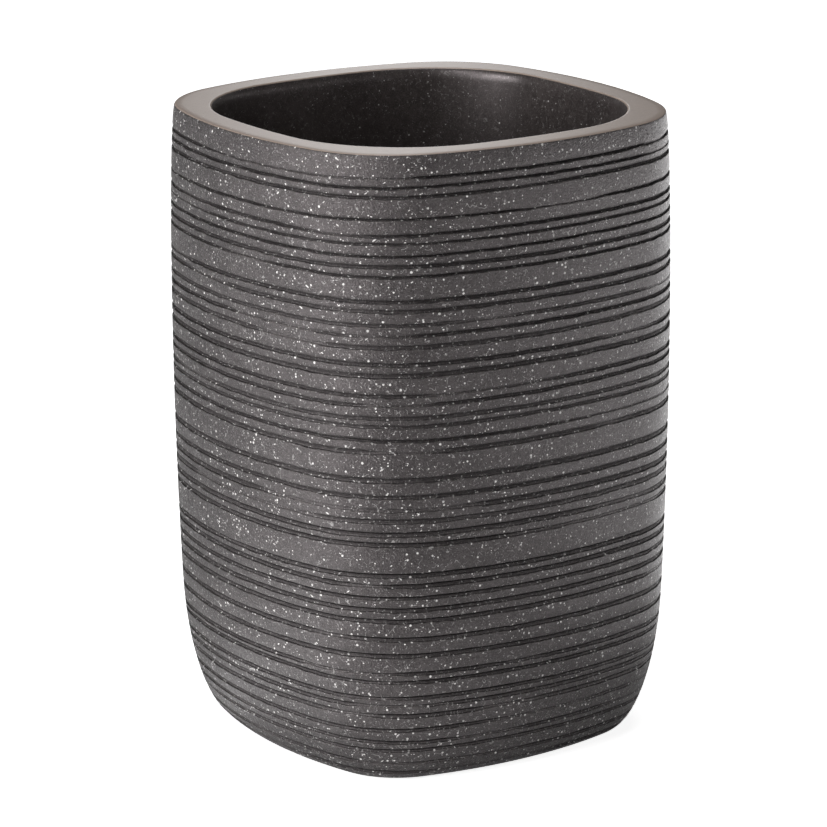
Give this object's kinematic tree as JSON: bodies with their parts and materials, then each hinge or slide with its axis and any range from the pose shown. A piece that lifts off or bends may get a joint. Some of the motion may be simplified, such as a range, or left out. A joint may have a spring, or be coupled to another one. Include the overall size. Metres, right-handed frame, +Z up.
{
  "type": "bathroom tumbler",
  "caption": "Square, round-cornered bathroom tumbler of dark speckled stone resin, ringed by carved grooves, with a smooth flat rim, a deep cavity and pads underneath.",
  "frame": {"origin": "middle of the base, in the plane of the pads' lower faces", "axes": "+Z up towards the mouth; X and Y square to the four faces, with the front at -Y"},
  "size_m": [0.074, 0.074, 0.1045],
  "materials": {
    "stone_resin": "satin, cast with pale flecks",
    "pad_rubber": "matt"
  },
  "bodies": {
    "root": {"tumbler_body": "stone_resin", "pad_front_left": "pad_rubber", "pad_front_right": "pad_rubber", "pad_back_left": "pad_rubber", "pad_back_right": "pad_rubber"}
  },
  "joints": []
}
